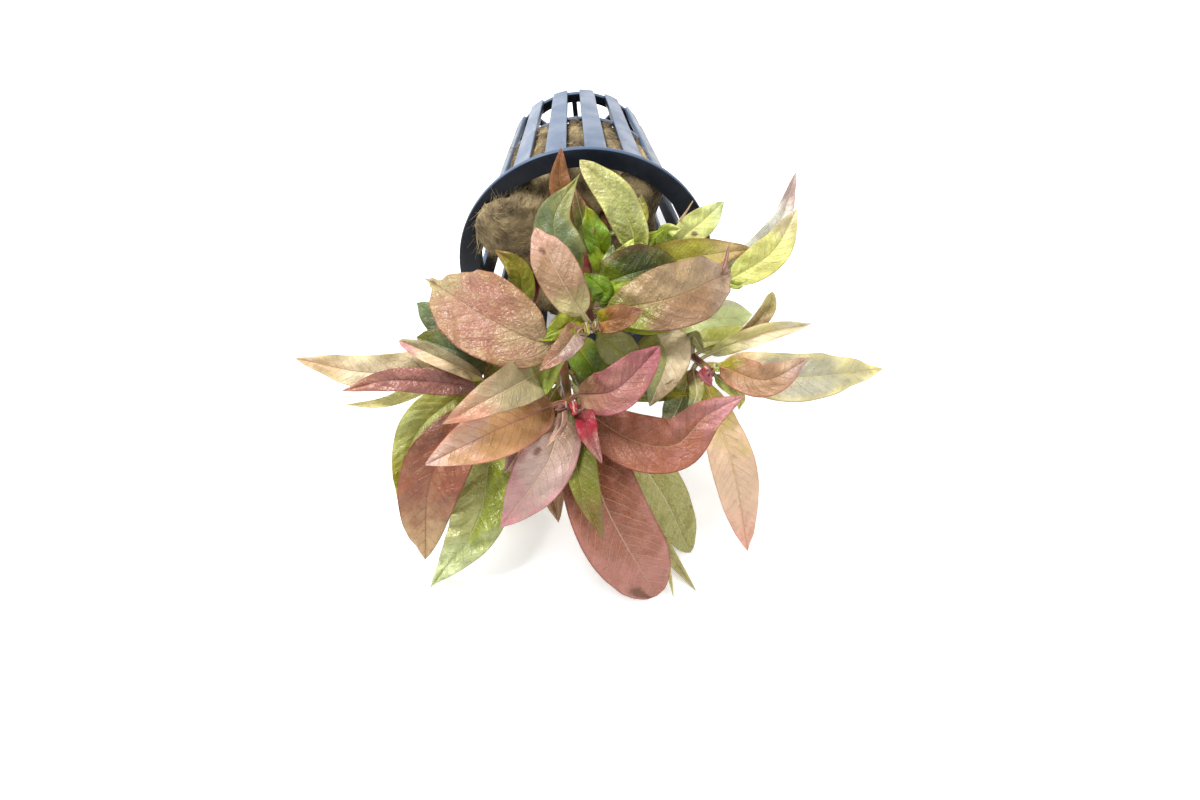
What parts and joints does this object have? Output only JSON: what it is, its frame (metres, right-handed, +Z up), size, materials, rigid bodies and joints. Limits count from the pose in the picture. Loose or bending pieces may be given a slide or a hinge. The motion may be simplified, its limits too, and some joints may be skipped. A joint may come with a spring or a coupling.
{
  "type": "potted hygrophila corymbosa compacta",
  "caption": "Leafy red and green water plant in a slotted net pot with a rock wool plug, lying on its side with its mouth and leaves to the front.",
  "frame": {"origin": "middle of the bounding box's bottom face, on the surface that the plant lies on", "axes": "-Y from the pot towards the leaves, +X to the viewer's right, +Z up"},
  "size_m": [0.128, 0.1272, 0.057],
  "materials": {
    "pot_plastic": "satin blue-black moulded plastic",
    "rock_wool": "damp tan and brown mineral fibre",
    "stem": "smooth maroon herb stem",
    "leaf_salmon": "wet, veined leaf",
    "leaf_pink": "wet, veined leaf",
    "leaf_mauve": "wet, veined leaf",
    "leaf_brown": "wet, veined leaf",
    "leaf_crimson": "wet, veined leaf",
    "leaf_sage": "wet, veined leaf",
    "leaf_bright_green": "wet, veined leaf",
    "leaf_dark_green": "wet, veined leaf",
    "leaf_olive": "wet, veined leaf",
    "leaf_yellow": "wet, veined leaf",
    "leaf_tan": "wet, veined leaf"
  },
  "bodies": {
    "root": {"net_pot": "pot_plastic", "rock_wool": "rock_wool", "stem_a": "stem", "stem_b": "stem", "stem_c": "stem", "stem_d": "stem", "stem_e": "stem", "stem_f": "stem", "leaf_salmon_upright": "leaf_salmon", "leaf_small_right": "leaf_salmon", "leaf_small_left": "leaf_pink", "leaf_bronze": "leaf_mauve", "leaf_salmon_big": "leaf_salmon", "leaf_sage_upright": "leaf_sage", "leaf_lime_under": "leaf_bright_green", "leaf_lime_left": "leaf_bright_green", "leaf_dark_round": "leaf_dark_green", "leaf_inner_olive": "leaf_olive", "leaf_brown_spear": "leaf_brown", "leaf_yellow_top": "leaf_yellow", "leaf_round_green": "leaf_olive", "leaf_bright_a": "leaf_bright_green", "leaf_mouth_olive": "leaf_olive", "leaf_yellow_green": "leaf_yellow", "leaf_olive_long": "leaf_olive", "leaf_pale_sickle": "leaf_tan", "leaf_yellow_right": "leaf_yellow", "leaf_lime_mouth": "leaf_bright_green", "leaf_sage_right": "leaf_sage", "leaf_green_flat": "leaf_bright_green", "leaf_folded_tan": "leaf_tan", "leaf_curled_olive": "leaf_olive", "leaf_pink_right": "leaf_pink", "leaf_olive_far_right": "leaf_olive", "leaf_pale_hanging": "leaf_tan", "leaf_sage_middle": "leaf_sage", "leaf_dark_wet": "leaf_dark_green", "leaf_dark_olive": "leaf_dark_green", "leaf_pink_upper": "leaf_pink", "leaf_curl_mauve": "leaf_mauve", "leaf_crimson_small": "leaf_crimson", "leaf_pink_lower": "leaf_pink", "leaf_orange_left": "leaf_salmon", "leaf_salmon_left": "leaf_salmon", "leaf_red_big": "leaf_brown", "leaf_green_bottom": "leaf_sage", "leaf_brown_beneath": "leaf_brown", "leaf_maroon_under": "leaf_mauve", "leaf_inner_green": "leaf_dark_green", "leaf_sage_bottom": "leaf_sage", "leaf_floor_right": "leaf_sage", "leaf_far_left": "leaf_tan", "leaf_crimson_left": "leaf_crimson", "leaf_pale_folded": "leaf_yellow", "leaf_dark_left_back": "leaf_dark_green", "leaf_dark_left": "leaf_dark_green", "leaf_sliver_left": "leaf_bright_green", "leaf_green_curve": "leaf_bright_green", "leaf_brown_big": "leaf_brown", "leaf_green_glossy": "leaf_bright_green"}
  },
  "joints": []
}
